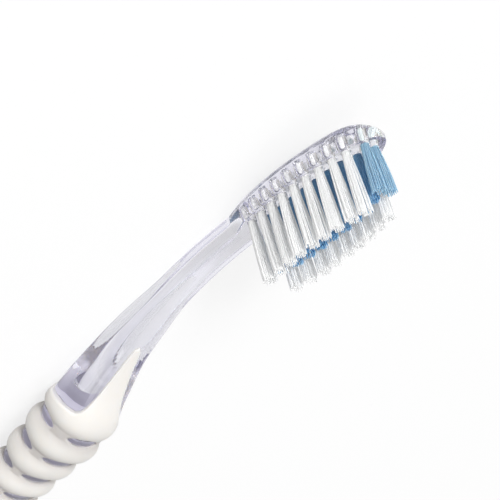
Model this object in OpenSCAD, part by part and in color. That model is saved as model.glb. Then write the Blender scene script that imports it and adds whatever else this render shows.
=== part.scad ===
// Manual toothbrush lying on its back, bristles up: +X runs to the tip of the
// head, +Z up, origin under the middle of the brush at table height.

/* [Overall] */
// Length from the butt to the tip of the head
brush_len = 190; // [174:1:204]
// Height of the grip's axis above the table
grip_height = 5.8; // [5.6:0.1:6.8]
// Depth of the flat on the underside that the brush lies on
rest_flat = 0.25; // [0.15:0.05:0.35]

/* [Head] */
// Tilt of the head against the table, degrees
head_tilt = 9; // [5:0.5:12]
// Thickness of the head from the bristle face to the back
head_t = 4.2; // [4:0.1:4.8]
// Clear wall between the outer tuft holes and the side of the head
side_wall = 1.1; // [0.95:0.05:1.4]
// Distance from the heel to the first row of tufts
heel_len = 4.4; // [3.8:0.1:5.4]
// Clear wall in front of the foremost tuft holes
tip_wall = 2; // [1.8:0.05:2.4]

/* [Tufts] */
// Diameter of a tuft hole
hole_d = 1.6; // [1.5:0.05:1.75]
// Depth of a tuft hole
hole_depth = 2.6; // [2.4:0.05:2.7]
// Spacing of the tufts along the head
tuft_pitch = 2.5; // [2.3:0.05:2.8]
// Distance between the two outer rows where they are widest apart
row_spread = 7.8; // [7.4:0.1:8.4]
// How much nearer the outer rows are at the front end
row_taper = 2.7; // [2.3:0.1:2.8]
// Distance between the two foremost tufts
tip_pitch = 2.12; // [2:0.02:2.3]
// Free length of the white outer bristles
white_len = 10.5; // [9:0.1:12]
// Free length of the blue bristles inside and at the tip
blue_len = 8; // [7:0.1:9]
// Width of one bristle strand
strand_w = 0.28; // [0.22:0.02:0.3]

/* [Anchors] */
// Thickness of the metal anchor that holds a folded tuft
anchor_t = 0.25; // [0.2:0.01:0.3]
// Height of the anchor
anchor_h = 1.2; // [1:0.05:1.3]
// Depth that each end of the anchor bites into the wall of the hole
anchor_bite = 0.12; // [0.08:0.01:0.15]
// Thickness of the fold of bristles under the anchor
fold_t = 0.45; // [0.35:0.05:0.55]

/* [Neck] */
// Length from the grip's side rim to the heel of the head
neck_len = 41; // [38:0.5:45]
// Width of the neck at its lowest point
neck_w = 5.8; // [5.4:0.1:6.6]
// Thickness of the neck at its lowest point
neck_t = 4.6; // [4.3:0.1:5]

/* [Handle] */
// Width of the handle at the collar
collar_w = 13.2; // [12.2:0.1:14.4]
// Thickness of the handle at the collar
collar_t = 11.4; // [10.4:0.1:12]
// Width of the handle at the waist
waist_w = 12.5; // [11.5:0.1:13.6]
// Thickness of the handle at the waist
waist_t = 8.9; // [8.3:0.1:10]
// Width of the handle near the butt
butt_w = 11; // [10:0.1:12.6]
// Thickness of the handle near the butt
butt_t = 7.6; // [7:0.1:8.6]
// Length of the rounded end at the butt
butt_round = 6; // [5:0.1:7]

/* [Grip] */
// Length of the grip along its sides, rim to rim
grip_len = 76; // [70:1:82]
// Length of the tongue on the bristle side of the neck
front_tongue = 14; // [12:0.5:16]
// Length of the tongue on the back of the neck
back_tongue = 4; // [3:0.5:5]
// Length of the two tongues at the butt end
tail_tongue = 15; // [12:0.5:18]
// Distance from the side rim to the first groove
first_groove = 3.7; // [3.4:0.1:4.2]
// Distance from the first groove to the second
rib_pitch = 5.6; // [5.2:0.1:6]
// Depth of the grooves between the ribs
groove_depth = 0.8; // [0.65:0.05:0.9]
// Thickness of the soft grip under a groove
groove_wall = 0.85; // [0.75:0.05:1]
// Length round the handle of the first window in front and behind
front_window = 6.4; // [5.8:0.1:6.8]
// Length round the handle of the first window on each side
side_window = 4.8; // [4.2:0.1:5.2]
// Width of the first windows, measured along the handle
window_w = 1.7; // [1.4:0.05:1.9]
// Depth of the clear land in a window below the groove
land_recess = 0.08; // [0.06:0.02:0.16]
// Turn of the side windows toward the back of the handle, degrees
side_window_turn = 8; // [0:1:10]
// Height of the grip's rim above the clear neck in front of it
rim_step = 0.35; // [0.25:0.05:0.45]

/* [Hidden] */
// Gap between the moulded core and what is seated in it
seat_gap = 0.03;
// Overrun of a cut past the face it opens
cut = 1;
// How many tufts are in an outer row, and how many grooves the grip has
row_tufts = 9;
grooves = 9;
// Each groove is this much nearer to the next one
groove_share = 0.94;
// Points round the handle, and steps of the butt's end and of the neck
around = 32;
butt_steps = 6;
neck_steps = 7;
// Squareness of the handle's section, the head's section, its heel, tip and back
handle_power = 2.25;
head_power = 2.7;
heel_power = 1.6;
tip_power = 2.6;
back_power = 2.2;

// Where each tuft stands, as shares of the pitch along the head and of its row
tip_tuft_share = 1.03;
inner_row_share = 0.36;
widest_share = 0.455;
// Strands in the two rings of a tuft, and where the rings lie in the hole
ring_strands = [3, 8];
ring_shares = [0.26, 0.7];
// Depth of the strands in the packed foot of their tuft, as a share of the hole
root_share = 0.15;
// Outward lean of the outer strands, degrees, unless the next tuft is too near
splay = 1.6;
strand_gap = 0.06;

// Places along the brush
field_len = (row_tufts - 1) * tuft_pitch;
tip_tuft_u = field_len + tuft_pitch * tip_tuft_share;
head_len = heel_len + tip_tuft_u + hole_d / 2 + tip_wall;
widest_u = field_len * widest_share;
tip_x = brush_len / 2;
butt_x = -tip_x;
butt_end_x = butt_x + butt_round;

// Head, in its own frame: u along it from the heel, v across, w up
heel_t_share = 0.96;
heel_round_share = 0.21;
tip_round_share = 0.27;
back_round_share = 0.212;
face_over_share = 1.8;
heel_t = neck_t * heel_t_share;
face_w = head_t / 2;
heel_round = head_len * heel_round_share;
tip_round = head_len * tip_round_share;
back_round = head_len * back_round_share;
head_shares = [
    0.03, 0.07, 0.11, 0.16, 0.22, 0.35, 0.5, 0.63, 0.72, 0.8, 0.86, 0.91, 0.945, 0.972, 0.988, 0.996
];
function mix(a, b, share) = a + (b - a) * share;
function bend(v, power) = sign(v) * pow(abs(v), 2 / power);
function bulge(t, power) = pow(max(0, 1 - pow(max(0, t), power)), 1 / power);
function angle_of(i) = 360 * i / around;
function row_v(u) =
    row_spread / 2 - row_taper / 2 * pow((u - widest_u) / (field_len - widest_u), 2);
function head_half_w(u) =
    mix(neck_w / 2, row_v(u - heel_len) + hole_d / 2 + side_wall, bulge(1 - u / heel_round, heel_power))
    * bulge(1 - (head_len - u) / tip_round, tip_power);
function head_prow(u) = bulge(1 - (head_len - u) / back_round, back_power);
function head_low(u) = mix(heel_t, head_t, min(1, u / heel_round)) / 2;
function head_high(u) = mix(heel_t, head_t * face_over_share, min(1, 2 * u / heel_round)) / 2;
function head_uvw(u, angle) =
    let (
        power = mix(handle_power, head_power, min(1, u / heel_round)),
        w = bend(sin(angle), power) * (angle < 180 ? head_high(u) : head_low(u))
    )
    [u, head_half_w(u) * bend(cos(angle), power), min(face_w, mix(face_w, w, head_prow(u)))];
tip_reach = max([for (share = head_shares) for (i = [0:around - 1])
    let (p = head_uvw(head_len * share, angle_of(i))) p[0] * cos(head_tilt) - p[2] * sin(head_tilt)]);
heel_x = tip_x - tip_reach;
rim_x = heel_x - neck_len;
tail_x = rim_x - grip_len;
neck_low_share = 0.62;
neck_low_x = mix(rim_x, heel_x, neck_low_share);
heel_z = neck_t / 2 + (heel_x - neck_low_x) * tan(head_tilt) / 2 - rest_flat;
function from_head(p) = [
    heel_x + p[0] * cos(head_tilt) - p[2] * sin(head_tilt),
    p[1],
    heel_z + p[0] * sin(head_tilt) + p[2] * cos(head_tilt)
];
module on_face(at) {
    translate([heel_x, 0, heel_z]) rotate([0, -head_tilt, 0])
        translate([heel_len + at[0], at[1], face_w]) children();
}

// Sections of the handle, from the butt to the heel: place, height of the axis,
// its gradient, half width, half thickness. The shares run from the butt to the
// grip, along the grip, and from the neck's lowest point up to the collar.
butt_gradient = 0.008;
shank_shares = [0.7, 0.12, 0.028, 0.6, 0.6];
grip_low_shares = [0.22, 0.62, 0.035, 1.03, 1.08];
waist_shares = [0.78, 0.97, 0.01, 1, 1];
collar_shares = [0.8, 1, -0.06, 1, 1];
neck_shares = [
    [0.1, 0.56, -0.22, 0.68, 0.6],
    [0.267, 0.2, -0.14, 0.32, 0.34],
    [0.434, 0.05, -0.05, 0.17, 0.16],
    [neck_low_share, 0, 0, 0, 0]
];
sections = [
    [butt_x, butt_t / 2 - rest_flat, butt_gradient, butt_w / 2, butt_t / 2],
    let (s = shank_shares) [mix(butt_x, tail_x, s[0]), mix(butt_t / 2, grip_height, s[1]), s[2],
        mix(butt_w, waist_w, s[3]) / 2, mix(butt_t, waist_t, s[4]) / 2],
    let (s = grip_low_shares) [mix(tail_x, rim_x, s[0]), mix(butt_t / 2, grip_height, s[1]), s[2],
        waist_w * s[3] / 2, waist_t * s[4] / 2],
    let (s = waist_shares) [mix(tail_x, rim_x, s[0]), grip_height * s[1], s[2],
        waist_w * s[3] / 2, waist_t * s[4] / 2],
    let (s = collar_shares) [rim_x - first_groove * s[0], grip_height * s[1], s[2],
        collar_w * s[3] / 2, collar_t * s[4] / 2],
    for (s = neck_shares) [mix(rim_x, heel_x, s[0]), mix(neck_t / 2 - rest_flat, grip_height, s[1]), s[2],
        mix(neck_w, collar_w, s[3]) / 2, mix(neck_t, collar_t, s[4]) / 2],
    [heel_x, heel_z, tan(head_tilt), neck_w / 2, heel_t / 2]
];

// Smooth curve through the sections: the span that holds x, and a cubic in it
last_span = len(sections) - 2;
function span_of(x) = max([0, for (i = [1:last_span]) if (x >= sections[i][0]) i]);
function span_len(i) = sections[i + 1][0] - sections[i][0];
function secant(i, c) = (sections[i + 1][c] - sections[i][c]) / span_len(i);
function side_slope(a, b) = a * b <= 0 ? 0 : 2 * a * b / (a + b);
function slope_at(i, c) =
    i == 0 ? secant(0, c) : i > last_span ? 0 : side_slope(secant(i - 1, c), secant(i, c));
function cubic(a, b, ma, mb, t) =
    a + (b - a) * (3 - 2 * t) * t * t + (ma * (1 - t) - mb * t) * (1 - t) * t;
function cubic_rate(a, b, ma, mb, t) =
    (b - a) * 6 * t * (1 - t) + ma * (1 - t) * (1 - 3 * t) + mb * t * (3 * t - 2);
function size_at(x, c) =
    let (i = span_of(x), h = span_len(i), a = sections[i], b = sections[i + 1])
    cubic(a[c], b[c], slope_at(i, c) * h, slope_at(i + 1, c) * h, (x - a[0]) / h);
function height_at(x) =
    let (i = span_of(x), h = span_len(i), a = sections[i], b = sections[i + 1])
    cubic(a[1], b[1], a[2] * h, b[2] * h, (x - a[0]) / h);
function lean_at(x) =
    let (i = span_of(x), h = span_len(i), a = sections[i], b = sections[i + 1])
    atan(cubic_rate(a[1], b[1], a[2] * h, b[2] * h, (x - a[0]) / h) / h);

// Rounded section square to the axis, shrunk by an inset, flat where it lies
function skin_point(x, angle, inset, scale = 1) =
    let (
        lean = lean_at(x),
        across = (size_at(x, 3) - inset) * scale * bend(cos(angle), handle_power),
        up = (size_at(x, 4) - inset) * scale * bend(sin(angle), handle_power)
    )
    [x - up * sin(lean), across, max(0, height_at(x) + up * cos(lean))];
function ring(x, inset, scale = 1) =
    [for (i = [0:around - 1]) skin_point(x, angle_of(i), inset, scale)];

// Rings of points joined in order into one closed solid, as a tube or capped
module loft(rings, is_tube = false) {
    n = len(rings[0]);
    rows = len(rings);
    faces = [
        for (r = [0:rows - (is_tube ? 1 : 2)]) for (i = [0:n - 1])
            let (j = (i + 1) % n, a = r * n, b = (r + 1) % rows * n)
            each [[a + i, b + i, a + j], [a + j, b + i, b + j]],
        if (!is_tube) [for (i = [0:n - 1]) i],
        if (!is_tube) [for (i = [n - 1:-1:0]) (rows - 1) * n + i]
    ];
    polyhedron(points = [for (ring = rings) each ring], faces = faces, convexity = 8);
}

// Grooves of the grip, and the level stretch that holds them
grip_depth = groove_depth + groove_wall;
function pitch_of(k) = rib_pitch * pow(groove_share, k);
function groove_x(k) = rim_x - first_groove - (rib_pitch - pitch_of(k)) / (1 - groove_share);
ribs_from_x = groove_x(grooves - 1) - pitch_of(grooves) / 2;
ribs_to_x = rim_x - first_groove / 2;

// Rims of the grip: a tongue in front and behind, free sides between them
free_angle = 36;
tongue_power = 2.6;
function tongue_share(angle) =
    let (off = abs(abs(angle - 180) - 90))
    pow(max(0, 1 - off / (90 - free_angle)), tongue_power);
function rim_at(angle) = rim_x + (angle < 180 ? front_tongue : back_tongue) * tongue_share(angle);
function tail_at(angle) = tail_x - tail_tongue * tongue_share(angle);
// Rows of points between a rim and a level ring, each a share of the way
function rim_rows(shares, gap, inset_at) = [for (t = shares)
    [for (i = [0:around - 1])
        let (angle = angle_of(i), x = mix(ribs_to_x, rim_at(angle) + gap, t))
        skin_point(x, angle, inset_at(x, t))]];
function tail_rows(shares, gap, inset_at) = [for (t = shares)
    [for (i = [0:around - 1])
        let (angle = angle_of(i), x = mix(tail_at(angle) - gap, ribs_from_x, t))
        skin_point(x, angle, inset_at(x, t))]];

// Bed of the grip in the core, which gets shallower under the front tongue
neck_bed_share = 0.55;
tail_bed_shares = [0, 0.15, 0.35, 0.6, 0.8];
rib_bed_shares = [0, 0.25, 0.5, 0.75, 1];
rim_bed_shares = [0.3, 0.55, 0.8, 1];
function bed_depth(x) =
    grip_depth * mix(1, neck_bed_share, min(1, max(0, (x - rim_x) / front_tongue)));
function bed_rows(off, gap) = [
    each tail_rows(tail_bed_shares, gap, function (x, t) bed_depth(x) - off),
    for (t = rib_bed_shares) let (x = mix(ribs_from_x, ribs_to_x, t)) ring(x, bed_depth(x) - off),
    each rim_rows(rim_bed_shares, gap, function (x, t) bed_depth(x) - off)
];

// Clear core: butt, body under the grip, neck and head, moulded in one piece
butt_cap_share = 0.985;
butt_shares = [0.25, 0.5, 0.75, 1];
throat_shares = [0, 0.25, 0.5, 0.75];
throat_share = 1.15;
throat_x = rim_x + front_tongue * throat_share;
module core_form() {
    loft([
        for (k = [1:butt_steps])
            let (c = cos(90 * k / butt_steps) / cos(90 / butt_steps))
            ring(mix(butt_end_x, butt_x, c), 0, bulge(c * butt_cap_share, tip_power)),
        for (t = butt_shares) [for (i = [0:around - 1])
            let (angle = angle_of(i))
            skin_point(mix(butt_end_x, tail_at(angle) - seat_gap, t), angle, 0)],
        each bed_rows(0, seat_gap),
        for (t = throat_shares) [for (i = [0:around - 1])
            let (angle = angle_of(i))
            skin_point(mix(rim_at(angle) + seat_gap, throat_x, t), angle, rim_step * pow(1 - t, 2))],
        for (k = [0:neck_steps]) ring(mix(throat_x, heel_x, k / neck_steps), 0),
        for (share = head_shares)
            [for (i = [0:around - 1]) from_head(head_uvw(head_len * share, angle_of(i)))]
    ]);
}

// Lens-shaped prisms through the grip at the grooves, in front, behind and aside
lens_points = 12;
lens_power = 1.7;
module lens(length, width, gap) {
    half_l = length / 2 - gap;
    half_w = width / 2 - gap;
    polygon([for (i = [0:lens_points - 1])
        let (a = 360 * i / lens_points)
        [half_w * bend(cos(a), lens_power), half_l * sin(a)]]);
}
module lens_prisms(gap) {
    for (k = [0:grooves - 1]) {
        x = groove_x(k);
        size_share = sqrt(pitch_of(k) / rib_pitch);
        for (turn = [0, 90 + side_window_turn, 180, 270 - side_window_turn]) {
            is_front = turn % 180 == 0;
            length = (is_front ? front_window : side_window) * size_share;
            translate([x, 0, height_at(x)]) rotate([0, -lean_at(x), 0]) rotate([turn, 0, 0])
                translate([0, 0, size_at(x, is_front ? 4 : 3) - grip_depth - cut])
                    linear_extrude(height = grip_depth + 2 * cut)
                        lens(length, window_w * size_share, gap);
        }
    }
}
module land_form() {
    rows = 2 * grooves;
    loft([for (k = [0:rows])
        ring(mix(ribs_from_x, rim_x, k / rows), groove_depth + land_recess)]);
}

module handle_core() {
    color([0.85, 0.84, 0.93, 0.5]) union() {
        difference() {
            core_form();
            for (t = tufts) on_face(t) {
                translate([0, 0, -hole_depth]) cylinder(h = hole_depth + cut, d = hole_d, $fn = 32);
                anchor_block(seat_gap);
            }
        }
        intersection() {
            lens_prisms(seat_gap);
            land_form();
        }
    }
}

// Soft grip moulded round the core, with ribs, grooves, windows and tongues
valley_share = 0.13;
flank_share = 0.27;
crest_share = 0.42;
flank_depth_share = 0.42;
crest_depth_share = 0.05;
edge_depth_share = 0.12;
tail_grip_shares = [0, 0.06, 0.3, 0.6, 0.85];
rim_grip_shares = [0.3, 0.55, 0.8, 0.94, 1];
function groove_rows(k) =
    let (x = groove_x(k), p = pitch_of(k), q = pitch_of(k - 1))
    [
        [x - flank_share * p, flank_depth_share],
        [x - valley_share * p, 1],
        [x + valley_share * q, 1],
        [x + flank_share * q, flank_depth_share],
        if (k > 0) [x + crest_share * q, crest_depth_share],
        if (k > 0) [x + (1 - crest_share) * q, crest_depth_share]
    ];
module grip_sleeve() {
    inside = bed_rows(seat_gap, 0);
    edge = groove_depth * edge_depth_share;
    color([0.95, 0.94, 0.92]) difference() {
        loft([
            each tail_rows(tail_grip_shares, 0, function (x, t) t == 0 ? edge : 0),
            for (k = [grooves - 1:-1:0])
                for (row = groove_rows(k)) ring(row[0], groove_depth * row[1]),
            each rim_rows(rim_grip_shares, 0, function (x, t) t == 1 ? edge : 0),
            for (r = [len(inside) - 1:-1:0]) inside[r]
        ], is_tube = true);
        lens_prisms(0);
    }
}

// Tufts: two bowed white rows outside, two blue rows between them, a blue tuft in
// the middle at each end of the blue rows, and two blue tufts at the tip
function outer_tuft(k) = [(k - 1) * tuft_pitch, row_v((k - 1) * tuft_pitch)];
function inner_tuft(k) = [k * tuft_pitch, inner_row_share * row_v(k * tuft_pitch)];
function left(at, length, name) = [at[0], at[1], length, name];
function right(at, length, name) = [at[0], -at[1], length, name];
tip_at = [tip_tuft_u, tip_pitch / 2];
tufts = [
    for (k = [1:row_tufts]) left(outer_tuft(k), white_len, str("outer_tuft_left_", k)),
    for (k = [1:row_tufts]) right(outer_tuft(k), white_len, str("outer_tuft_right_", k)),
    for (k = [1:row_tufts - 2]) left(inner_tuft(k), blue_len, str("inner_tuft_left_", k)),
    for (k = [1:row_tufts - 2]) right(inner_tuft(k), blue_len, str("inner_tuft_right_", k)),
    left([0, 0], blue_len, "inner_tuft_heel"),
    left([field_len, 0], blue_len, "inner_tuft_front"),
    left(tip_at, blue_len, "tip_tuft_left"),
    right(tip_at, blue_len, "tip_tuft_right")
];
// Least distance between two tufts, which bounds how far their strands lean
least_pitch = min([for (a = tufts) for (b = tufts)
    if (a[3] != b[3]) norm([a[0] - b[0], a[1] - b[1]])]);
strand_r = strand_w / sqrt(3);
strand_room = least_pitch / 2 - hole_d / 2 * ring_shares[1] - strand_r - strand_gap / 2;

module anchor_block(gap) {
    length = hole_d + 2 * (anchor_bite + gap);
    translate([-length / 2, -anchor_t / 2 - gap, fold_t - hole_depth - gap])
        cube([length, anchor_t + 2 * gap, anchor_h + 2 * gap]);
}
module tuft_anchors() {
    color([0.78, 0.77, 0.74]) for (t = tufts) on_face(t) anchor_block(0);
}

// One strand: three sides, from inside the packed foot to a tip leaning outward
module strand(radius, angle, free_len, travel) {
    root = hole_depth * root_share;
    foot = radius - travel * root / free_len;
    tip = radius + travel;
    corners = [for (i = [0:2]) [strand_r * cos(120 * i), strand_r * sin(120 * i)]];
    rotate([0, 0, angle]) polyhedron(
        points = [
            for (c = corners) [foot + c[0], c[1], -root],
            for (c = corners) [tip + c[0], c[1], free_len]
        ],
        faces = [
            [0, 1, 2], [5, 4, 3],
            [0, 3, 1], [1, 3, 4], [1, 4, 2], [2, 4, 5], [2, 5, 0], [0, 5, 3]
        ]);
}
module tuft(t) {
    free_len = t[2];
    travel = min(strand_room, free_len * tan(splay));
    color(free_len == white_len ? [0.95, 0.96, 0.95] : [0.16, 0.42, 0.68]) on_face(t) union() {
        difference() {
            translate([0, 0, seat_gap - hole_depth])
                cylinder(h = hole_depth - seat_gap, d = hole_d - 2 * seat_gap, $fn = 32);
            anchor_block(seat_gap);
        }
        for (ring = [0:1]) for (i = [1:ring_strands[ring]])
            strand(hole_d / 2 * ring_shares[ring], 360 * i / ring_strands[ring], free_len,
                travel * ring_shares[ring] / ring_shares[1]);
    }
}

handle_core();
grip_sleeve();
tuft_anchors();
for (t = tufts) tuft(t);
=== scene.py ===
# A manual toothbrush lying on its back, bristles up: a clear one-piece handle
# and head, a soft white grip moulded round the handle, and tufts of white and
# blue filament held in blind holes by metal anchors. Named sizes are in mm, the
# scene in metres, with +X to the head's tip.
import math
import random
import bmesh
import bpy
from mathutils import Matrix, Vector


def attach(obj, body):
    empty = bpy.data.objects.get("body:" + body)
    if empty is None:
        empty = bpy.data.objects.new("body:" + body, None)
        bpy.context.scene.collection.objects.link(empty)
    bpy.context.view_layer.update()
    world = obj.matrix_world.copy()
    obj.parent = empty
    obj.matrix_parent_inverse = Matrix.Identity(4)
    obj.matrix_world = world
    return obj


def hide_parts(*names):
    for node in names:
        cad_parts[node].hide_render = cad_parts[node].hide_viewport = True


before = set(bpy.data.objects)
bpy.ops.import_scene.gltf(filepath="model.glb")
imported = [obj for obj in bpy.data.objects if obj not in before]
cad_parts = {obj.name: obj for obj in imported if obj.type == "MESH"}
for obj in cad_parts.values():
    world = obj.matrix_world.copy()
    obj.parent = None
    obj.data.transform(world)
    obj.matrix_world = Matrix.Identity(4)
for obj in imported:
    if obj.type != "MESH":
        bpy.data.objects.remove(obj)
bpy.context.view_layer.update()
shown = bpy.context.scene.collection
MM = 0.001


# Clear core: head, neck, body under the grip and butt in one injection-moulded
# piece of clear copolyester with a faint violet tint. It has a blind hole for
# each tuft, a bed for the grip, and lens-shaped lands that stand in its windows.
BRUSH_LEN, GRIP_HEIGHT, REST_FLAT = 190.0, 5.8, 0.25
HEAD_TILT, HEAD_T, SIDE_WALL, HEEL_LEN, TIP_WALL = math.radians(9), 4.2, 1.1, 4.4, 2.0
HOLE_D, HOLE_DEPTH, TUFT_PITCH = 1.6, 2.6, 2.5
ROW_SPREAD, ROW_TAPER, TIP_PITCH, ROW_TUFTS = 7.8, 2.7, 2.12, 9
WHITE_LEN, BLUE_LEN = 10.5, 8.0
NECK_LEN, NECK_W, NECK_T = 41.0, 5.8, 4.6
COLLAR_W, COLLAR_T, WAIST_W, WAIST_T = 13.2, 11.4, 12.5, 8.9
BUTT_W, BUTT_T, BUTT_ROUND = 11.0, 7.6, 6.0
GRIP_LEN, FRONT_TONGUE, BACK_TONGUE, TAIL_TONGUE = 76.0, 14.0, 4.0, 15.0
FIRST_GROOVE, RIB_PITCH, GROOVE_DEPTH, GROOVE_WALL = 3.7, 5.6, 0.8, 0.85
GROOVES, GROOVE_SHARE = 9, 0.94
TONGUE_HALF, TONGUE_TIP, TONGUE_POWER, TONGUE_BED, THROAT_STEP = 54.0, 2.0, 2.6, 0.55, 0.35
# A power says how square a section is: 2 makes an ellipse.
HANDLE_POWER, NECK_POWER, HEAD_POWER, NECK_SLIM = 2.25, 3.9, 2.7, 0.94
AROUND = 160


def mix(a, b, share):
    return a + (b - a) * share


def clamped(share):
    return min(1, max(0, share))


def bend(v, power):
    """A sine or cosine bent so that a section gets squarer."""
    return math.copysign(abs(v) ** (2 / power), v)


def bulge(t, power):
    """A rounded end: 1 where t is 0 or less, and 0 where it is 1."""
    return max(0.0, 1 - max(0.0, t) ** power) ** (1 / power)


def soft_min(a, b, reach):
    """The smaller of two heights, with a small round where they meet."""
    h = min(1.0, max(0.0, 0.5 + 0.5 * (b - a) / reach))
    return mix(b, a, h) - reach * h * (1 - h)


FIELD_LEN = (ROW_TUFTS - 1) * TUFT_PITCH
TIP_TUFT_U = FIELD_LEN + TUFT_PITCH * 1.03
HEAD_LEN = HEEL_LEN + TIP_TUFT_U + HOLE_D / 2 + TIP_WALL
WIDEST_U = FIELD_LEN * 0.455
HEEL_T = NECK_T * 0.96
FACE_W = HEAD_T / 2
HEEL_ROUND, TIP_ROUND, BACK_ROUND = HEAD_LEN * 0.21, HEAD_LEN * 0.27, HEAD_LEN * 0.212
HEEL_POWER, TIP_POWER, PROW_POWER = 1.6, 2.6, 2.2
FACE_OVER, EDGE_ROUND = 1.8, 0.3


def row_v(u):
    """How far an outer row stands from the middle, at u along the tufts."""
    return ROW_SPREAD / 2 - ROW_TAPER / 2 * ((u - WIDEST_U) / (FIELD_LEN - WIDEST_U)) ** 2


def head_uvw(u, angle):
    """A point of the head's skin in its own tilted frame, u from the heel."""
    past_heel = min(1, u / HEEL_ROUND)
    power, slim = mix(NECK_POWER, HEAD_POWER, past_heel), mix(NECK_SLIM, 1, past_heel)
    side = mix(NECK_W * NECK_SLIM / 2, row_v(u - HEEL_LEN) + HOLE_D / 2 + SIDE_WALL,
               bulge(1 - u / HEEL_ROUND, HEEL_POWER))
    side *= bulge(1 - (HEAD_LEN - u) / TIP_ROUND, TIP_POWER)
    prow = bulge(1 - (HEAD_LEN - u) / BACK_ROUND, PROW_POWER)
    low = slim * mix(HEEL_T, HEAD_T, past_heel) / 2
    high = slim * mix(HEEL_T, HEAD_T * FACE_OVER, min(1, 2 * u / HEEL_ROUND)) / 2
    w = bend(math.sin(angle), power) * (high if math.sin(angle) > 0 else low)
    height = soft_min(FACE_W, FACE_W * (1 - prow) + w * prow, EDGE_ROUND)
    return u, side * bend(math.cos(angle), power), height


# The head ends at the brush's full length, as measured on the solid's own rings.
SOLID_RINGS = (0.03, 0.07, 0.11, 0.16, 0.22, 0.35, 0.5, 0.63, 0.72, 0.8, 0.86,
               0.91, 0.945, 0.972, 0.988, 0.996)
SOLID_AROUND = 32
HEEL_X = BRUSH_LEN / 2 - max(
    p[0] * math.cos(HEAD_TILT) - p[2] * math.sin(HEAD_TILT)
    for s in SOLID_RINGS for i in range(SOLID_AROUND)
    for p in [head_uvw(HEAD_LEN * s, math.tau * i / SOLID_AROUND)])
BUTT_X = -BRUSH_LEN / 2
RIM_X = HEEL_X - NECK_LEN
TAIL_X = RIM_X - GRIP_LEN
LOW_X = mix(RIM_X, HEEL_X, 0.62)
HEEL_Z = NECK_T / 2 + (HEEL_X - LOW_X) * math.tan(HEAD_TILT) / 2 - REST_FLAT
# Each section: its x, the height of its axis, the axis's slope, half its width and
# half its thickness.
SECTIONS = [
    (BUTT_X, BUTT_T / 2 - REST_FLAT, 0.008, BUTT_W / 2, BUTT_T / 2),
    (mix(BUTT_X, TAIL_X, 0.7), mix(BUTT_T / 2, GRIP_HEIGHT, 0.12), 0.028,
     mix(BUTT_W, WAIST_W, 0.6) / 2, mix(BUTT_T, WAIST_T, 0.6) / 2),
    (mix(TAIL_X, RIM_X, 0.22), mix(BUTT_T / 2, GRIP_HEIGHT, 0.62), 0.035,
     WAIST_W * 1.03 / 2, WAIST_T * 1.08 / 2),
    (mix(TAIL_X, RIM_X, 0.78), GRIP_HEIGHT * 0.97, 0.01, WAIST_W / 2, WAIST_T / 2),
    (RIM_X - FIRST_GROOVE * 0.8, GRIP_HEIGHT, -0.06, COLLAR_W / 2, COLLAR_T / 2),
] + [
    (mix(RIM_X, HEEL_X, s), mix(NECK_T / 2 - REST_FLAT, GRIP_HEIGHT, lift), slope,
     mix(NECK_W, COLLAR_W, wide) / 2, mix(NECK_T, COLLAR_T, thick) / 2)
    for s, lift, slope, wide, thick in (
        (0.1, 0.56, -0.22, 0.68, 0.6), (0.267, 0.2, -0.14, 0.32, 0.34),
        (0.434, 0.05, -0.05, 0.17, 0.16), (0.62, 0, 0, 0, 0))
] + [(HEEL_X, HEEL_Z, math.tan(HEAD_TILT), NECK_W / 2, HEEL_T / 2)]


def handle_at(x):
    """Height of the axis, its lean, and the half width and half thickness at x."""
    i = max([0] + [k for k in range(1, len(SECTIONS) - 1) if x >= SECTIONS[k][0]])
    a, b = SECTIONS[i], SECTIONS[i + 1]
    h = b[0] - a[0]
    t = (x - a[0]) / h

    def secant(k, c):
        return (SECTIONS[k + 1][c] - SECTIONS[k][c]) / (SECTIONS[k + 1][0] - SECTIONS[k][0])

    def slope(k, c):
        if k == 0 or k == len(SECTIONS) - 1:
            return secant(0, c) if k == 0 else 0.0
        p, q = secant(k - 1, c), secant(k, c)
        return 0.0 if p * q <= 0 else 2 * p * q / (p + q)

    def cubic(c, ma, mb):
        return a[c] + (b[c] - a[c]) * (3 - 2 * t) * t * t + (ma * (1 - t) - mb * t) * (1 - t) * t

    ma, mb = a[2] * h, b[2] * h
    rate = ((b[1] - a[1]) * 6 * t * (1 - t) + ma * (1 - t) * (1 - 3 * t) + mb * t * (3 * t - 2)) / h
    return (cubic(1, ma, mb), math.atan(rate),
            cubic(3, slope(i, 3) * h, slope(i + 1, 3) * h),
            cubic(4, slope(i, 4) * h, slope(i + 1, 4) * h))


handle_cache = {}


def skin(x, angle, inset, scale=1.0):
    """A point at a depth under the handle's skin; nothing goes below the table."""
    if x not in handle_cache:
        handle_cache[x] = handle_at(x)
    z, lean, half_w, half_t = handle_cache[x]
    past_rim = clamped((x - RIM_X) / FRONT_TONGUE)
    power = mix(HANDLE_POWER, NECK_POWER, past_rim)
    scale *= mix(1, NECK_SLIM, past_rim)
    across = (half_w - inset) * scale * bend(math.cos(angle), power)
    up = (half_t - inset) * scale * bend(math.sin(angle), power)
    return x - up * math.sin(lean), across, max(0.0, z + up * math.cos(lean))


ANGLES = [math.tau * i / AROUND for i in range(AROUND)]
GRIP_DEPTH = GROOVE_DEPTH + GROOVE_WALL


def pitch_of(k):
    """From groove k to the next one: the pitch shrinks toward the butt."""
    return RIB_PITCH * GROOVE_SHARE ** k


def groove_x(k):
    return RIM_X - FIRST_GROOVE - (RIB_PITCH - pitch_of(k)) / (1 - GROOVE_SHARE)


RIBS_FROM = groove_x(GROOVES - 1) - pitch_of(GROOVES) / 2
RIBS_TO = RIM_X - FIRST_GROOVE / 2


def tongue_share(angle):
    """How far the grip's end runs out at an angle: 1 at the tip of a tongue."""
    off = abs(abs(math.degrees(angle) - 180) - 90)
    return max(0.0, 1 - (math.hypot(off, TONGUE_TIP) - TONGUE_TIP) / TONGUE_HALF) ** TONGUE_POWER


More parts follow.
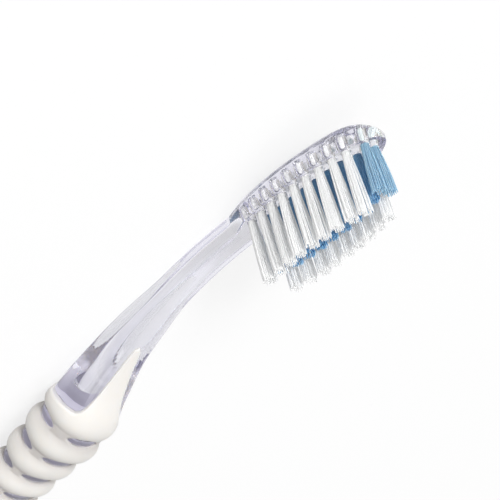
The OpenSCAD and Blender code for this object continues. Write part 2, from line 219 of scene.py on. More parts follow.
RIM = [RIM_X + (FRONT_TONGUE if a < math.pi else BACK_TONGUE) * tongue_share(a) for a in ANGLES]
TAIL = [TAIL_X - TAIL_TONGUE * tongue_share(a) for a in ANGLES]


def bed_depth(x):
    """The grip's thickness, which thins along its tongues."""
    return GRIP_DEPTH * mix(1, TONGUE_BED, clamped((x - RIM_X) / FRONT_TONGUE))


def row_between(ends_from, ends_to, share, inset_at):
    """A ring of points at a share of the way between two ends that wave."""
    row = []
    for i, angle in enumerate(ANGLES):
        x = mix(ends_from[i], ends_to[i], share)
        row.append(skin(x, angle, inset_at(x, share)))
    return row


def level(x):
    return [x] * AROUND


def shares(count, start=0.0, end=1.0):
    return [mix(start, end, k / count) for k in range(count + 1)]


SHARP_EDGE = math.radians(38)


def lofted(name, rings, is_tube=False):
    """A mesh object from rings of points in mm, smooth but for edges over an angle."""
    n, rows = len(rings[0]), len(rings)
    points = [Vector(p) * MM for ring in rings for p in ring]
    faces = []
    for r in range(rows if is_tube else rows - 1):
        a, b = r * n, (r + 1) % rows * n
        faces += [(a + i, a + (i + 1) % n, b + (i + 1) % n, b + i) for i in range(n)]
    if not is_tube:
        faces += [tuple(range(n))[::-1], tuple((rows - 1) * n + i for i in range(n))]
    mesh = bpy.data.meshes.new(name)
    mesh.from_pydata(points, [], faces)
    piece = bpy.data.objects.new(name, mesh)
    shown.objects.link(piece)
    smooth_but_edges(piece)
    return piece


def smooth_but_edges(piece):
    """Faces outward and shades smooth, with creases kept."""
    bm = bmesh.new()
    bm.from_mesh(piece.data)
    bmesh.ops.recalc_face_normals(bm, faces=bm.faces)
    for face in bm.faces:
        face.smooth = True
    for edge in bm.edges:
        edge.smooth = len(edge.link_faces) == 2 and edge.calc_face_angle(0) < SHARP_EDGE
    bm.to_mesh(piece.data)
    bm.free()


def cut_or_join(piece, tool, operation):
    """The exact boolean of a piece and a tool mesh, which then goes away."""
    step = piece.modifiers.new("tool", "BOOLEAN")
    step.operation, step.object, step.solver = operation, tool, "EXACT"
    bpy.context.view_layer.update()
    graph = bpy.context.evaluated_depsgraph_get()
    done = bpy.data.meshes.new_from_object(piece.evaluated_get(graph))
    piece.modifiers.clear()
    piece.data = done
    bpy.data.objects.remove(tool)
    smooth_but_edges(piece)


def from_head(u, v, w):
    """A place in the head's tilted frame as one in the brush's frame."""
    c, s = math.cos(HEAD_TILT), math.sin(HEAD_TILT)
    return HEEL_X + u * c - w * s, v, HEEL_Z + u * s + w * c


def flush(x, share):
    return 0.0


def in_bed(x, share):
    return bed_depth(x)


def at_throat(x, share):
    return THROAT_STEP * (1 - share) ** 2


THROAT_X = RIM_X + FRONT_TONGUE * 1.15
BUTT_END, BUTT_RINGS, BUTT_CLOSED, BUTT_POWER = BUTT_X + BUTT_ROUND, 14, 0.985, 2.6
rings = []
for k in range(1, BUTT_RINGS + 1):
    c = math.cos(math.pi / 2 * k / BUTT_RINGS) / math.cos(math.pi / 2 / BUTT_RINGS)
    closed = bulge(c * BUTT_CLOSED, BUTT_POWER)
    rings.append([skin(mix(BUTT_END, BUTT_X, c), a, 0, closed) for a in ANGLES])
rings += [row_between(level(BUTT_END), TAIL, t, flush) for t in shares(16)[1:]]
rings += [row_between(TAIL, level(RIBS_FROM), t, in_bed) for t in shares(16)[:-1]]
rings += [row_between(level(RIBS_FROM), level(RIBS_TO), t, in_bed) for t in shares(40)]
rings += [row_between(level(RIBS_TO), RIM, t, in_bed) for t in shares(14)[1:]]
rings += [row_between(RIM, level(THROAT_X), t, at_throat) for t in shares(16)[:-1]]
rings += [row_between(level(THROAT_X), level(HEEL_X), t, flush) for t in shares(30)]
rings += [[from_head(*head_uvw(HEAD_LEN * math.sin(math.pi / 2 * t), a)) for a in ANGLES]
          for t in shares(64, 0.01, 0.955)]
core = lofted("clear_core", rings)


def rod(bm, centre, axis, radius, start, end, sides=40):
    """A round rod along an axis from one height to another, all in mm."""
    turn = axis.to_track_quat("Z", "Y").to_matrix().to_4x4()
    place = Matrix.Translation((centre + axis * (start + end) / 2) * MM) @ turn
    bmesh.ops.create_cone(bm, cap_ends=True, segments=sides, radius1=radius * MM,
                          radius2=radius * MM, depth=(end - start) * MM, matrix=place)


INNER_SPREAD, OVERRUN = 0.36, 1.0


def tuft_places():
    """Every tuft: its name, its place along and across the head, its length and colour."""
    places = [("inner_tuft_heel", 0.0, 0.0, BLUE_LEN, "blue"),
              ("inner_tuft_front", FIELD_LEN, 0.0, BLUE_LEN, "blue")]
    for side, name in ((1, "left"), (-1, "right")):
        for k in range(ROW_TUFTS):
            u = k * TUFT_PITCH
            v = side * row_v(u)
            places.append((f"outer_tuft_{name}_{k + 1}", u, v, WHITE_LEN, "white"))
        for k in range(1, ROW_TUFTS - 1):
            u = k * TUFT_PITCH
            v = side * INNER_SPREAD * row_v(u)
            places.append((f"inner_tuft_{name}_{k}", u, v, BLUE_LEN, "blue"))
        places.append((f"tip_tuft_{name}", TIP_TUFT_U, side * TIP_PITCH / 2, BLUE_LEN, "blue"))
    return places


UP = Vector((-math.sin(HEAD_TILT), 0, math.cos(HEAD_TILT)))
bm = bmesh.new()
for name, u, v, free_len, colour in tuft_places():
    rod(bm, Vector(from_head(HEEL_LEN + u, v, FACE_W)), UP, HOLE_D / 2, -HOLE_DEPTH, OVERRUN)
holes = bpy.data.objects.new("holes", bpy.data.meshes.new("holes"))
bm.to_mesh(holes.data)
bm.free()
shown.objects.link(holes)
cut_or_join(core, holes, "DIFFERENCE")

FRONT_WINDOW, SIDE_WINDOW, WINDOW_W, SIDE_DROP = 7.1, 5.6, 1.75, math.radians(8)
FIRST_SHORT, SIDE_SHARE, LENS_POWER = 0.86, 0.93, 1.7
LAND_RECESS, LAND_DOME, LAND_REACH, BOND = 0.02, 0.42, 1.3, 0.02


def windows():
    """Every window: its place on the axis, its directions, and its half sizes."""
    for k in range(GROOVES):
        x = groove_x(k)
        z, lean, half_w, half_t = handle_at(x)
        along = Vector((math.cos(lean), 0, math.sin(lean)))
        up = Vector((-math.sin(lean), 0, math.cos(lean)))
        size = (pitch_of(k) / RIB_PITCH) ** 0.5
        for turn in (0, math.pi / 2 + SIDE_DROP, math.pi, 3 * math.pi / 2 - SIDE_DROP):
            out = up * math.cos(turn) - Vector((0, math.sin(turn), 0))
            if abs(math.cos(turn)) > 0.5:
                skin_at, length = half_t, FRONT_WINDOW * size * (FIRST_SHORT if k == 0 else 1)
            else:
                skin_at, length = half_w, SIDE_WINDOW * SIDE_SHARE ** k
            yield Vector((x, 0, z)), along, out, skin_at, length / 2, WINDOW_W * size / 2


def lens_prism(bm, centre, along, out, low, high, half_l, half_w, count=32):
    """A lens-shaped prism that points outward."""
    across = out.cross(along)
    lower, upper = [], []
    for i in range(count):
        a = math.tau * i / count
        p = centre + along * half_w * bend(math.cos(a), LENS_POWER)
        p += across * half_l * math.sin(a)
        lower.append(bm.verts.new((p + out * low) * MM))
        upper.append(bm.verts.new((p + out * high) * MM))
    bm.faces.new(lower[::-1])
    bm.faces.new(upper)
    for i in range(count):
        j = (i + 1) % count
        bm.faces.new((lower[i], lower[j], upper[j], upper[i]))


# Front and back windows are cut first and the side ones after them, so that
# the tools of one cut never cross.
WINDOWS = list(windows())
WINDOW_ROWS = (WINDOWS[0::2], WINDOWS[1::2])
WINDOW_DEPTH = GRIP_DEPTH + 1.4


def window_tool(name, these, overrun, grow):
    """The lens prisms of these windows as one mesh, from under the bed outward."""
    bm = bmesh.new()
    for centre, along, out, skin_at, half_l, half_w in these:
        lens_prism(bm, centre, along, out, skin_at - WINDOW_DEPTH, skin_at + overrun,
                   half_l + grow, half_w + grow)
    tool = bpy.data.objects.new(name, bpy.data.meshes.new(name))
    bm.to_mesh(tool.data)
    bm.free()
    shown.objects.link(tool)
    return tool


def window_off(x, angle):
    """How far a groove's point is from a window: as a share of its size, and mm past its edge."""
    point = Vector(skin(x, angle, GROOVE_DEPTH))
    nearest = 9.0, 9.0
    for centre, along, out, skin_at, half_l, half_w in WINDOWS:
        off = point - centre
        if abs(off.x) > FRONT_WINDOW / 2 or off.dot(out) < 0:
            continue
        p, q = off.dot(along), off.dot(out.cross(along))
        reach = math.hypot(p / half_w, q / half_l)
        if reach < nearest[0]:
            nearest = reach, (1 - 1 / reach) * math.hypot(p, q) if reach > 1 else 0.0
    return nearest


def land_row(x):
    """A ring over the lands, which are domed and stand just under the groove's skin."""
    row = []
    for angle in ANGLES:
        drop = LAND_DOME * min(LAND_REACH, window_off(x, angle)[0]) ** 2
        row.append(skin(x, angle, GROOVE_DEPTH + LAND_RECESS + drop))
    return row


land_rows = [land_row(x) for x in shares(360, RIBS_FROM - 1, RIM_X - 0.5)]
for these in WINDOW_ROWS:
    lands = window_tool("lands", these, OVERRUN / 2, BOND)
    cut_or_join(lands, lofted("land_form", land_rows), "INTERSECT")
    cut_or_join(core, lands, "UNION")


def hex_colour(code):
    """An sRGB hex colour as Blender's linear one."""
    parts = [int(code[i:i + 2], 16) / 255 for i in (1, 3, 5)]
    return (*[c / 12.92 if c <= 0.04045 else ((c + 0.055) / 1.055) ** 2.4 for c in parts], 1.0)


def add_node(material, kind, settings=(), links=()):
    """Adds a node, sets its sockets or properties, and links (output, input) pairs to it."""
    node = material.node_tree.nodes.new(kind)
    for key, value in dict(settings).items():
        if isinstance(key, int) or key in node.inputs:
            node.inputs[key].default_value = value
        else:
            setattr(node, key, value)
    for source, key in dict(links).items():
        material.node_tree.links.new(source, node.inputs[key])
    return node


def new_material(name):
    """A material with its shader and the object's own coordinates, in metres."""
    material = bpy.data.materials.new(name)
    material.use_nodes = True
    shader = material.node_tree.nodes["Principled BSDF"]
    where = add_node(material, "ShaderNodeTexCoord").outputs["Object"]
    return material, shader, where


# Clear copolyester, polished mould: flow lines from the gate, a few mm apart,
# bend the reflections a little, and thick parts look violet.
clear, shader, where = new_material("moulded_clear_copolyester")
shader.inputs["Base Color"].default_value = hex_colour("#FDFDFD")
shader.inputs["Transmission Weight"].default_value = 1.0
shader.inputs["IOR"].default_value = 1.57
shader.inputs["Roughness"].default_value = 0.03
flow = add_node(clear, "ShaderNodeMapping", {"Scale": (1.0, 3.0, 3.0)}, {where: "Vector"})
waves = add_node(clear, "ShaderNodeTexNoise", {"Scale": 1 / (6 * MM), "Detail": 1.0},
                 {flow.outputs[0]: "Vector"})
relief = add_node(clear, "ShaderNodeBump", {"Strength": 0.06, "Distance": 0.4 * MM},
                  {waves.outputs["Fac"]: "Height"})
clear.node_tree.links.new(relief.outputs["Normal"], shader.inputs["Normal"])
tint = add_node(clear, "ShaderNodeVolumeAbsorption",
                {"Color": hex_colour("#938EC8"), "Density": 26.0})
clear_out = clear.node_tree.nodes["Material Output"]
clear.node_tree.links.new(tint.outputs["Volume"], clear_out.inputs["Volume"])
# The lamps' light passes it, so that its shadow on the table stays pale.
rays = add_node(clear, "ShaderNodeLightPath")
lit_through = add_node(clear, "ShaderNodeBsdfTransparent", {"Color": hex_colour("#DCDCDE")})
passed = add_node(clear, "ShaderNodeMixShader", {}, {
    rays.outputs["Is Shadow Ray"]: 0, shader.outputs[0]: 1, lit_through.outputs[0]: 2})
clear.node_tree.links.new(passed.outputs[0], clear_out.inputs["Surface"])
core.data.materials.clear()
core.data.materials.append(clear)
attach(core, "root")
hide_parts("handle_core")


# Soft grip: white thermoplastic elastomer moulded round the core in a second
# shot and bonded to it. Ring ribs with grooves between them, lens-shaped windows
# in the grooves, and rounded rims that run out in tongues.
LIP, LIP_DEPTH = 0.45, 0.22
GROOVE_FROM, GROOVE_POWER, GROOVE_FLOOR_ROUND = 0.76, 2.3, 0.12


def rib_share(x):
    """How deep the grip's skin lies at x, from 0 on a rib to 1 in a groove."""
    near = 0.0
    for k in range(GROOVES):
        mark = groove_x(k)
        pitch = pitch_of(k - 1) if x > mark else pitch_of(k)
        near = max(near, 1 - 2 * abs(x - mark) / pitch)
    if near == 0:
        return 0.0
    return soft_min(1.0, (near / GROOVE_FROM) ** GROOVE_POWER, GROOVE_FLOOR_ROUND)


def lip_drop(x, angle):
    """How far the skin rolls down at the lip of the nearest window."""
    return LIP_DEPTH * max(0.0, 1 - window_off(x, angle)[1] / LIP) ** 2


def grip_inset(x, angle):
    """The depth of the grip's skin under the handle's: grooves and the windows' lips."""
    if not RIBS_FROM - 2 < x < RIM_X:
        return 0.0
    return GROOVE_DEPTH * rib_share(x) + lip_drop(x, angle)


def grip_row(ends_from, ends_to, share):
    """A ring of the grip's skin at a share of the way between two ends that wave."""
    row = []
    for i, angle in enumerate(ANGLES):
        x = mix(ends_from[i], ends_to[i], share)
        row.append(skin(x, angle, grip_inset(x, angle)))
    return row


def edge_row(ends, way, off):
    """A row at a distance in from an end of the grip, on its rounded edge."""
    row = []
    for i, angle in enumerate(ANGLES):
        x = ends[i] - way * off
        r = EDGE_SHARE * bed_depth(x)
        inset = r - math.sqrt(max(0.0, r * r - (r - off) ** 2)) if off < r else 0.0
        row.append(skin(x, angle, grip_inset(x, angle) + inset))
    return row


def bonded(x, share):
    return bed_depth(x) + BOND


EDGE_SHARE, EDGE_RUN = 0.25, 0.7
EDGE_STEPS = (0.0, 0.008, 0.03, 0.07, 0.12, 0.18, 0.25, 0.33, 0.42, 0.6)
GRIP_RIM = [x + BOND for x in RIM]
GRIP_TAIL = [x - BOND for x in TAIL]
inner_rim = [x - EDGE_RUN for x in GRIP_RIM]
inner_tail = [x + EDGE_RUN for x in GRIP_TAIL]
rings = [edge_row(GRIP_TAIL, -1, off) for off in EDGE_STEPS]
rings += [grip_row(inner_tail, level(RIBS_FROM), s) for s in shares(20)[:-1]]
rings += [grip_row(level(RIBS_FROM), level(RIBS_TO), s) for s in shares(340)]
rings += [grip_row(level(RIBS_TO), inner_rim, s) for s in shares(24)[1:]]
rings += [edge_row(GRIP_RIM, 1, off) for off in EDGE_STEPS[::-1]]
rings += [row_between(level(RIBS_TO), GRIP_RIM, t, bonded) for t in shares(14)[1:][::-1]]
rings += [row_between(level(RIBS_FROM), level(RIBS_TO), t, bonded) for t in shares(40)[::-1]]
rings += [row_between(GRIP_TAIL, level(RIBS_FROM), t, bonded) for t in shares(16)[:-1][::-1]]
grip = lofted("soft_grip", rings, is_tube=True)
for these in WINDOW_ROWS:
    cut_or_join(grip, window_tool("cutters", these, OVERRUN, 0.0), "DIFFERENCE")

# White elastomer, satin mould: a slightly warm white that lets light in a little
# way, with a fine matt grain of about 0.15 mm, drawn at 0.3 mm so that it shows.
# The grooves are painted a shade greyer: painted shade, for the shade that the ribs cast in them.
soft, shader, where = new_material("moulded_white_elastomer")
cloud = add_node(soft, "ShaderNodeTexNoise", {"Scale": 1 / (9 * MM), "Detail": 2.0},
                 {where: "Vector"})
shade = add_node(soft, "ShaderNodeValToRGB", links={cloud.outputs["Fac"]: "Fac"})
shade.color_ramp.elements[0].color = hex_colour("#E6E3DF")
shade.color_ramp.elements[1].color = hex_colour("#EFEDE9")
# The groove attribute says how deep a point lies in a groove, and mixes in the painted shade.
groove_shade = add_node(soft, "ShaderNodeAttribute", {"attribute_name": "groove"})
groove_shaded = add_node(soft, "ShaderNodeMix", {"data_type": "RGBA", 7: hex_colour("#CCC8C5")},
                  {groove_shade.outputs["Fac"]: 0, shade.outputs["Color"]: 6})
soft.node_tree.links.new(groove_shaded.outputs[2], shader.inputs["Base Color"])
grain = add_node(soft, "ShaderNodeTexNoise", {"Scale": 1 / (0.3 * MM), "Detail": 3.0},
                 {where: "Vector"})
relief = add_node(soft, "ShaderNodeBump", {"Strength": 0.08, "Distance": 0.03 * MM},
                  {grain.outputs["Fac"]: "Height"})
soft.node_tree.links.new(relief.outputs["Normal"], shader.inputs["Normal"])
shader.inputs["Roughness"].default_value = 0.42
shader.inputs["IOR"].default_value = 1.5
shader.inputs["Subsurface Weight"].default_value = 1.0
shader.inputs["Subsurface Radius"].default_value = (1.0, 0.95, 0.88)
shader.inputs["Subsurface Scale"].default_value = 0.8 * MM


# The face bonded to the core is the same elastomer, seen through the clear plastic,
# but painted a little greyer and cooler than the outside: painted shade. Where the
# wall is thin, an emission paints the light that comes through it as a glow: most
# behind the rim, which has the light of the neck too, less under the other grooves,
# and hardly under a rib.
def bonded_face(name, painted_glow):
    elastomer, shader, where = new_material(name)
    mottle = add_node(elastomer, "ShaderNodeTexNoise", {"Scale": 1 / (1.5 * MM), "Detail": 2.0},
                      {where: "Vector"})
    shade = add_node(elastomer, "ShaderNodeValToRGB", links={mottle.outputs["Fac"]: "Fac"})
    shade.color_ramp.elements[0].color = hex_colour("#D8D6DA")
    shade.color_ramp.elements[1].color = hex_colour("#E2E0E4")
    elastomer.node_tree.links.new(shade.outputs["Color"], shader.inputs["Base Color"])
    shader.inputs["Roughness"].default_value = 0.5
    # Painted light: an emission for the light that comes through the thin wall.
    shader.inputs["Emission Color"].default_value = hex_colour("#F6F4FA")
    shader.inputs["Emission Strength"].default_value = painted_glow
    return elastomer


grip.data.materials.clear()
# Three copies of one elastomer, lit by painted glows of different strengths.
for elastomer in (soft, bonded_face("bonded_elastomer_painted_glow_at_rim", 0.42),
                  bonded_face("bonded_elastomer_painted_glow_under_groove", 0.2),
                  bonded_face("bonded_elastomer_painted_glow_under_rib", 0.03)):
    grip.data.materials.append(elastomer)
SKIN, AT_RIM, UNDER_GROOVE, UNDER_RIB = range(4)
THIN_FROM, GROOVE_SHADE_POWER, FACES_CORE = 0.45, 0.8, -0.7
# Painted shade: a share for each point, 1 deep in a groove and 0 on a rib, that greys the grooves.
groove_shade = grip.data.attributes.new("groove", "FLOAT", "POINT")
for i, vertex in enumerate(grip.data.vertices):
    x = vertex.co.x / MM
    groove_shade.data[i].value = rib_share(x) ** GROOVE_SHADE_POWER if RIBS_FROM < x < RIM_X else 0.0
for face in grip.data.polygons:
    x = face.center.x / MM
    outward = Vector((0, face.center.y, face.center.z - handle_at(x)[0] * MM)).normalized()
    face.material_index = SKIN
    if face.normal.dot(outward) < FACES_CORE:
        if RIBS_FROM < x < RIM_X and rib_share(x) > THIN_FROM:
            face.material_index = AT_RIM if x > groove_x(0.5) else UNDER_GROOVE
        else:
            face.material_index = UNDER_RIB
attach(grip, "root")
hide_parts("grip_sleeve")


# Anchors: flat strips of nickel silver, cut from a coil and driven into the holes
# over the folded filaments. They stay as the frame has them.
strip, shader, where = new_material("rolled_nickel_silver")
streak = add_node(strip, "ShaderNodeMapping", {"Scale": (1.0, 12.0, 12.0)}, {where: "Vector"})
rolled = add_node(strip, "ShaderNodeTexNoise", {"Scale": 1 / (0.6 * MM), "Detail": 2.0},
                  {streak.outputs[0]: "Vector"})
worn = add_node(strip, "ShaderNodeMapRange", {"To Min": 0.22, "To Max": 0.42},
                {rolled.outputs["Fac"]: "Value"})
strip.node_tree.links.new(worn.outputs["Result"], shader.inputs["Roughness"])
shader.inputs["Base Color"].default_value = hex_colour("#DEDCD6")
shader.inputs["Metallic"].default_value = 1.0
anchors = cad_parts["tuft_anchors"]
for slot in anchors.material_slots:
    slot.material = strip


# Tufts: each is a bundle of nylon filaments 0.18 mm thick, folded double under
# its anchor, so that both legs stand up from the hole, trimmed level and with
# rounded ends. Outer tufts are white, and the shorter inner and tip ones blue.
FILAMENT_R, ANCHOR_TOP, ANCHOR_LOW, FOLD_FROM = 0.088, -0.95, -2.15, 0.1
FOLD_DROP, FOLD_AT = 0.32, 0.7
PACKED, SPREAD, TRIM, LEAN, SWAY = 0.93, 0.68, 0.05, 0.09, 0.06
# How far a filament has spread at shares of its free height, and how thick its
# domed end is at shares of its radius outward.
SPREAD_SHARES = ((0.7, 0.88), (0.45, 0.66), (0.2, 0.34), (0.0, 0.03))
DOME_SHARES = ((0.9, 0.45), (0.45, 0.86), (0.0, 1.0))
random.seed(4)


def filament_path(u, v, free_len, sway):
    """One folded filament, from one tip down under the anchor and up to the other."""
    legs = []
    for side, (du, dv) in zip((1, -1), sway):
        root_u, root_v = u * PACKED, side * v * PACKED
        tip_u, tip_v = u * (1 + SPREAD) + du, side * v * (1 + SPREAD) + dv
        leg = [(tip_u, tip_v, free_len - abs(random.gauss(0, TRIM)))]
        for height, share in SPREAD_SHARES:
            leg.append((mix(root_u, tip_u, share), mix(root_v, tip_v, share), free_len * height))
        leg += [(root_u, root_v, ANCHOR_TOP), (root_u, root_v, ANCHOR_LOW + FOLD_FROM)]
        legs.append(leg)
    drop = FOLD_DROP * (v / FOLD_AT)
    under = [(u * PACKED, v * PACKED * math.cos(a), ANCHOR_LOW - drop * math.sin(a))
             for a in (math.pi / 4, math.pi / 2, 3 * math.pi / 4)]
    return legs[0] + under + legs[1][::-1]


def sweep(verts, faces, path, radius, sides=6):
    """A thin round strand along a path of points, with domed ends."""
    points = [Vector(p) for p in path]
    count = len(points)
    base = len(verts)
    rows = []
    side = Vector((1, 0, 0))
    for k, p in enumerate(points):
        ahead = (points[min(k + 1, count - 1)] - points[max(k - 1, 0)]).normalized()
        side = (side - ahead * side.dot(ahead)).normalized()
        other = ahead.cross(side)
        stages = [(0.0, 1.0)]
        if k == 0:
            stages = [(-out * radius, thick) for out, thick in DOME_SHARES]
        if k == count - 1:
            stages = [(out * radius, thick) for out, thick in DOME_SHARES[::-1]]
        for shift, thick in stages:
            row = []
            for i in range(sides):
                turn = math.tau * i / sides
                away = side * math.cos(turn) + other * math.sin(turn)
                row.append(p + ahead * shift + away * radius * thick)
            rows.append(row)
    for row in rows:
        verts += row
    for r in range(len(rows) - 1):
        for i in range(sides):
            j = (i + 1) % sides
            a, b = base + r * sides, base + (r + 1) * sides
            faces.append((a + i, a + j, b + j, b + i))
    faces.append(tuple(base + i for i in range(sides))[::-1])
    faces.append(tuple(base + (len(rows) - 1) * sides + i for i in range(sides)))


FACE_HEIGHT, ROOT_FADE = Vector(from_head(0, 0, FACE_W)).dot(UP) * MM, 0.5 * MM


# Drawn nylon 6.12: a smooth, waxy filament that lets light through a little. A
# faint emission paints that light as a glow all over each bundle. Its dye varies by
# specks of 0.4 mm, and the roots below the head's face are painted paler: painted
# light, for the light that the clear head round them throws on them.
def filament_material(name, code, deep, painted_root_glare, painted_glow, painted_glow_strength):
    nylon, shader, where = new_material(name)
    speck = add_node(nylon, "ShaderNodeTexNoise", {"Scale": 1 / (0.4 * MM), "Detail": 1.0},
                     {where: "Vector"})
    shade = add_node(nylon, "ShaderNodeValToRGB", links={speck.outputs["Fac"]: "Fac"})
    shade.color_ramp.elements[0].color = hex_colour(deep)
    shade.color_ramp.elements[1].color = hex_colour(code)
    height = add_node(nylon, "ShaderNodeVectorMath", {"operation": "DOT_PRODUCT", 1: UP},
                      {where: 0})
    free = add_node(nylon, "ShaderNodeMapRange",
                    {"From Min": FACE_HEIGHT - ROOT_FADE, "From Max": FACE_HEIGHT},
                    {height.outputs["Value"]: "Value"})
    # Painted light: below the head's face the roots are painted paler.
    colour = add_node(nylon, "ShaderNodeMix", {"data_type": "RGBA", 6: hex_colour(painted_root_glare)},
                      {free.outputs["Result"]: 0, shade.outputs["Color"]: 7})
    nylon.node_tree.links.new(colour.outputs[2], shader.inputs["Base Color"])
    shader.inputs["Roughness"].default_value = 0.35
    shader.inputs["IOR"].default_value = 1.53
    shader.inputs["Subsurface Weight"].default_value = 1.0
    shader.inputs["Subsurface Radius"].default_value = (1.0, 1.0, 1.0)
    shader.inputs["Subsurface Scale"].default_value = 0.3 * MM
    # Painted glow, for the light that the filaments let through.
    shader.inputs["Emission Color"].default_value = hex_colour(painted_glow)
    shader.inputs["Emission Strength"].default_value = painted_glow_strength
    return nylon


filaments = {
    "white": filament_material("drawn_white_nylon",
                               "#FAFAFA", "#F3F4F4", "#FCFCFC", "#FFFFFF", 0.04),
    # The inner tufts get a darker, deeper copy of the tip tufts' blue and a deep blue glow: painted
    # shade, for the shade between the white rows.
    "inner": filament_material("drawn_blue_nylon_painted_shade",
                               "#8AB2D0", "#6C9CC4", "#E6F2EE", "#3478B4", 0.04),
    "blue": filament_material("drawn_blue_nylon",
                              "#A8C6DA", "#8CB4D0", "#E6F2EE", "#96BCDC", 0.03),
}
FILAMENT_PITCH, FILAMENT_ROWS, BUNDLE_R = 0.178, (0.22, 0.38, 0.54, 0.695), 0.722
LATTICE = [(FILAMENT_PITCH * (k + (0.5 if row % 2 else 0)), v)
           for row, v in enumerate(FILAMENT_ROWS) for k in range(-5, 6)]
FOLDS = [(u, v) for u, v in LATTICE if math.hypot(u, v) < BUNDLE_R]
place = Matrix(((math.cos(HEAD_TILT), 0, -math.sin(HEAD_TILT)), (0, 1, 0),
                (math.sin(HEAD_TILT), 0, math.cos(HEAD_TILT))))
for name, tuft_u, tuft_v, free_len, colour in tuft_places():
    verts, faces = [], []
    foot = Vector(from_head(HEEL_LEN + tuft_u, tuft_v, FACE_W))
    lean_u, lean_v = random.gauss(0, LEAN), random.gauss(0, LEAN)
    for u, v in FOLDS:
        sway = [(lean_u + random.gauss(0, SWAY), lean_v + random.gauss(0, SWAY))
                for leg in range(2)]
        sweep(verts, faces, filament_path(u, v, free_len, sway), FILAMENT_R)
    mesh = bpy.data.meshes.new(name + "_filaments")
    mesh.from_pydata([(foot + place @ p) * MM for p in verts], [], faces)
    mesh.materials.append(filaments["inner" if name.startswith("inner") else colour])
    for face in mesh.polygons:
        face.use_smooth = True
    tuft = bpy.data.objects.new(name + "_filaments", mesh)
    shown.objects.link(tuft)
    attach(tuft, "root")
    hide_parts(name)


# The table: a plain white board that the brush lies on. The camera sees it as
# white with a faint shadow. In and through the clear plastic it looks evener,
# and it throws less light back up, so that the undersides keep their shade.
BOARD_HALF, EVEN_SHARE, EVEN_LIGHT, WHITE_SHARE = 3, 0.35, 0.85, 0.75
board = bpy.data.meshes.new("table")
board.from_pydata([(x * BOARD_HALF, y * BOARD_HALF, 0)
                   for x, y in ((-1, -1), (1, -1), (1, 1), (-1, 1))], [], [(0, 1, 2, 3)])
table = bpy.data.objects.new("table", board)
shown.objects.link(table)
paper, shader, where = new_material("matt_white_board")
shader.inputs["Roughness"].default_value = 0.9
shader.inputs["Specular IOR Level"].default_value = 0.0
rays = add_node(paper, "ShaderNodeLightPath")
through = add_node(paper, "ShaderNodeMath", {"operation": "MAXIMUM"},
                   {rays.outputs["Is Glossy Ray"]: 0, rays.outputs["Is Transmission Ray"]: 1})
looked_at = add_node(paper, "ShaderNodeMath", {"operation": "MAXIMUM"},
                     {rays.outputs["Is Camera Ray"]: 0, through.outputs[0]: 1})
tone = add_node(paper, "ShaderNodeMix",
                {"data_type": "RGBA", 6: hex_colour("#DCDCDC"), 7: hex_colour("#FFFFFF")},
                {looked_at.outputs[0]: 0})
paper.node_tree.links.new(tone.outputs[2], shader.inputs["Base Color"])
white = add_node(paper, "ShaderNodeEmission")
evened = add_node(paper, "ShaderNodeEmission", {"Strength": EVEN_LIGHT})
white_part = add_node(paper, "ShaderNodeMath", {"operation": "MULTIPLY", 1: WHITE_SHARE},
                      {rays.outputs["Is Camera Ray"]: 0})
even_part = add_node(paper, "ShaderNodeMath", {"operation": "MULTIPLY", 1: EVEN_SHARE},
                     {through.outputs[0]: 0})
lit = add_node(paper, "ShaderNodeMixShader", {},
               {white_part.outputs[0]: 0, shader.outputs[0]: 1, white.outputs[0]: 2})
seen = add_node(paper, "ShaderNodeMixShader", {},
                {even_part.outputs[0]: 0, lit.outputs[0]: 1, evened.outputs[0]: 2})
paper_out = paper.node_tree.nodes["Material Output"]
paper.node_tree.links.new(seen.outputs[0], paper_out.inputs["Surface"])
board.materials.append(paper)


# Light: a soft box beyond the head, a weaker and wider one overhead, and the
# studio's walls round them. The camera sees the walls as white. The clear parts
# see them darker low down beyond the head's left side, which draws their edges.
def soft_box(name, place, size, power):
    lamp = bpy.data.lights.new(name, "AREA")
    lamp.shape, lamp.size, lamp.energy = "SQUARE", size, power
    holder = bpy.data.objects.new(name, lamp)
    holder.location = place
    holder.rotation_euler = Vector(place).to_track_quat("Z", "Y").to_euler()
    shown.objects.link(holder)


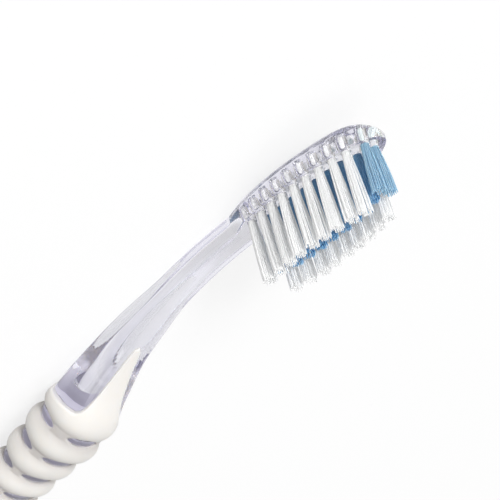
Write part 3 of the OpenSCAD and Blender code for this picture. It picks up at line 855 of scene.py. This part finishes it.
soft_box("key", (1.25, 0.55, 0.75), 0.45, 16.0)
soft_box("overhead", (0.1, 0.0, 1.6), 0.8, 4.0)
world = bpy.data.worlds.new("studio")
bpy.context.scene.world = world
world.use_nodes = True
even = world.node_tree.nodes["Background"]
even.inputs["Color"].default_value = (1, 1, 1, 1)
even.inputs["Strength"].default_value = 0.5
rays = add_node(world, "ShaderNodeLightPath")
toward = add_node(world, "ShaderNodeTexCoord")
facing = add_node(world, "ShaderNodeVectorMath",
                  {"operation": "DOT_PRODUCT", 1: (-0.45, -0.65, 0.61)},
                  {toward.outputs["Generated"]: 0})
walls = add_node(world, "ShaderNodeMapRange",
                 {"From Min": -0.6, "From Max": -0.2, "To Min": 0.6, "To Max": 1.0},
                 {facing.outputs["Value"]: "Value"})
room = add_node(world, "ShaderNodeBackground", {"Color": (1, 1, 1, 1)},
                {walls.outputs["Result"]: "Strength"})
white = add_node(world, "ShaderNodeBackground", {"Color": (1, 1, 1, 1)})
through = add_node(world, "ShaderNodeMath", {"operation": "MAXIMUM"},
                   {rays.outputs["Is Glossy Ray"]: 0, rays.outputs["Is Transmission Ray"]: 1})
inside = add_node(world, "ShaderNodeMixShader", {},
                  {through.outputs[0]: 0, even.outputs[0]: 1, room.outputs[0]: 2})
seen = add_node(world, "ShaderNodeMixShader", {},
                {rays.outputs["Is Camera Ray"]: 0, inside.outputs[0]: 1, white.outputs[0]: 2})
world_out = world.node_tree.nodes["World Output"]
world.node_tree.links.new(seen.outputs[0], world_out.inputs["Surface"])


# Camera: the photograph's view, close over the head and tipped over, so that
# the bristles point down the frame and the handle leaves it at the lower left.
# It was fitted to the tufts' roots and tips; its focal length is in pixels.
SENSOR, FOCAL_PX, PICTURE_PX = 36.0, 3149.5, 500
AWAY, ASIDE, BELOW = 472.65, 0.233, 4.212
camera = bpy.data.cameras.new("camera")
camera.sensor_width = SENSOR
camera.lens = SENSOR * FOCAL_PX / PICTURE_PX
camera.clip_end = 10.0
viewer = bpy.data.objects.new("camera", camera)
shown.objects.link(viewer)
right = Vector((0.62277, -0.69271, 0.36374)).normalized()
back = right.cross(Vector((0.63440, 0.17499, -0.75293))).normalized()
over = back.cross(right)
aim = Vector(from_head(4.4, 3.1, 2.1))
spot = aim + back * AWAY - right * ASIDE - over * BELOW
axes = Matrix((right, over, back)).transposed()
viewer.matrix_world = Matrix.Translation(spot * MM) @ axes.to_4x4()
bpy.context.scene.camera = viewer
bpy.context.scene.view_settings.view_transform = "Standard"
# Light crosses many clear walls in the head, so it needs many bounces.
cycles = bpy.context.scene.cycles
cycles.max_bounces, cycles.transmission_bounces = 32, 24
cycles.glossy_bounces, cycles.diffuse_bounces = 24, 8
